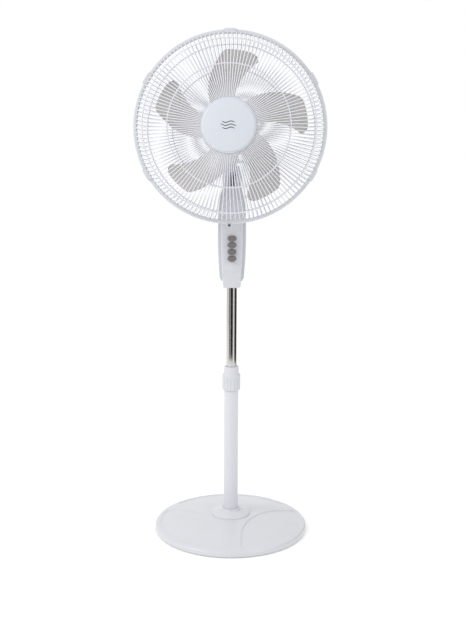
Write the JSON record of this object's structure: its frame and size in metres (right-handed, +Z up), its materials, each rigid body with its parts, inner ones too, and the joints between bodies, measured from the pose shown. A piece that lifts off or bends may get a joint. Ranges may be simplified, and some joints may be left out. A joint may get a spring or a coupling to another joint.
{
  "type": "pedestal fan",
  "caption": "Pedestal fan: domed round weighted base, telescopic mast with screw collar, slim control box with push keys, and a swinging, tilting caged fan head.",
  "frame": {"origin": "centre of the base on the floor, under the mast's axis", "axes": "+Z up along the mast, the fan blows towards -Y, +X to the right hand of someone facing the fan"},
  "size_m": [0.4263, 0.3773, 1.1761],
  "materials": {
    "blade_grey": "smoky grey moulding",
    "bronze": "sintered bronze",
    "cast_metal": "die cast",
    "chrome": "polished",
    "copper": "enamelled copper",
    "dark_plastic": "dark moulding",
    "iron": "plain",
    "key_grey": "dark grey keys",
    "nylon": "natural nylon",
    "rubber": "matte",
    "steel": "plain",
    "steel_wire": "white coated wire",
    "white_metal": "gloss white powder coat",
    "white_plastic": "satin cool white moulding"
  },
  "bodies": {
    "stand": {"base_cover": "white_plastic", "base_plate": "steel", "rubber_feet": "rubber", "ballast_disc": "iron", "pole_socket": "steel", "base_bolt": "steel", "lower_pole": "white_metal", "pole_flange": "white_plastic", "pole_collet": "nylon"},
    "lock_nut": {"height_lock_nut": "white_plastic"},
    "mast": {"upper_tube": "chrome", "tube_plug": "dark_plastic", "control_panel": "white_plastic", "control_housing": "white_plastic", "timer_blank": "white_plastic", "switch_block": "dark_plastic", "run_capacitor": "dark_plastic", "panel_screws": "steel", "tube_screw": "steel", "cord_gland": "dark_plastic", "tilt_bolt": "steel", "tilt_nut": "steel"},
    "key_off": {"button_off": "key_grey"},
    "key_low": {"button_low": "key_grey"},
    "key_medium": {"button_medium": "key_grey"},
    "key_high": {"button_high": "key_grey"},
    "neck": {"neck_bracket": "white_metal", "thrust_washer": "nylon"},
    "head": {"swivel_post": "steel", "gear_case": "cast_metal", "gear_case_lid": "cast_metal", "front_end_bell": "cast_metal", "rear_end_bell": "cast_metal", "stator_core": "iron", "stator_windings": "copper", "front_bearing": "bronze", "rear_bearing": "bronze", "motor_housing": "white_plastic", "motor_front_cover": "white_plastic", "rear_guard_wires": "steel_wire", "rear_guard_rings": "steel_wire", "rear_guard_plate": "steel_wire", "rear_guard_nut": "white_plastic", "front_guard_wires": "steel_wire", "front_guard_rings": "steel_wire", "front_cap": "white_plastic", "cap_retainer": "white_plastic", "guard_band": "white_plastic", "guard_clips": "white_plastic", "guard_screw": "steel"},
    "rotor": {"motor_shaft": "steel", "drive_pin": "steel", "rotor_core": "cast_metal", "fan_blade": "blade_grey", "blade_nut": "white_plastic"},
    "gear_train": {"worm_wheel": "nylon", "pinion": "nylon"},
    "clutch": {"clutch_knob": "white_plastic"},
    "crank": {"crank_gear": "steel"},
    "link": {"swing_link": "steel"}
  },
  "joints": [
    {"name": "height_slide", "type": "slide", "parent": "stand", "child": "mast", "axis": [0, 0, 1], "range_m": [-0.15, 0.09]},
    {"name": "lock_nut_turn", "type": "hinge", "parent": "stand", "child": "lock_nut", "pos_m": [0, 0, 0.358], "axis": [0, 0, 1], "range_deg": [0, 180]},
    {"name": "press_off", "type": "slide", "parent": "mast", "child": "key_off", "axis": [0, 1, 0], "range_m": [0, 0.004], "stiffness_N_per_m": 400, "springref_m": -0.003},
    {"name": "press_low", "type": "slide", "parent": "mast", "child": "key_low", "axis": [0, 1, 0], "range_m": [0, 0.004], "stiffness_N_per_m": 400, "springref_m": -0.003},
    {"name": "press_medium", "type": "slide", "parent": "mast", "child": "key_medium", "axis": [0, 1, 0], "range_m": [0, 0.004], "stiffness_N_per_m": 400, "springref_m": -0.003},
    {"name": "press_high", "type": "slide", "parent": "mast", "child": "key_high", "axis": [0, 1, 0], "range_m": [0, 0.004], "stiffness_N_per_m": 400, "springref_m": -0.003},
    {"name": "tilt", "type": "hinge", "parent": "mast", "child": "neck", "pos_m": [0, 0, 0.847], "axis": [-1, 0, 0], "range_deg": [-12, 15]},
    {"name": "swing", "type": "hinge", "parent": "neck", "child": "head", "pos_m": [0, 0.00816, 0.95068], "axis": [0, 0.0785, 0.9969], "range_deg": [-35.5, 40.5]},
    {"name": "blade_spin", "type": "hinge", "parent": "head", "child": "rotor", "pos_m": [0, 0.00816, 0.95068], "axis": [-0.0436, -0.996, 0.0784], "continuous": true},
    {"name": "worm_wheel_spin", "type": "hinge", "parent": "head", "child": "gear_train", "pos_m": [0.01851, 0.04228, 0.94799], "axis": [0, 0.0785, 0.9969], "continuous": true},
    {"name": "clutch_pull", "type": "slide", "parent": "head", "child": "clutch", "axis": [0, 0.0785, 0.9969], "range_m": [0, 0.007]},
    {"name": "crank_turn", "type": "hinge", "parent": "head", "child": "crank", "pos_m": [-0.00007, 0.04309, 0.94793], "axis": [0, 0.0785, 0.9969], "range_deg": [-80, 95]},
    {"name": "link_turn", "type": "hinge", "parent": "neck", "child": "link", "pos_m": [0.023, 0.00259, 0.8799], "axis": [0, 0.0785, 0.9969], "range_deg": [-30, 40]}
  ],
  "couplings": [
    {"joint": "worm_wheel_spin", "follows": "blade_spin", "ratio": -0.041667},
    {"joint": "crank_turn", "follows": "swing", "ratio": 1.98},
    {"joint": "link_turn", "follows": "swing", "ratio": 0.73}
  ]
}
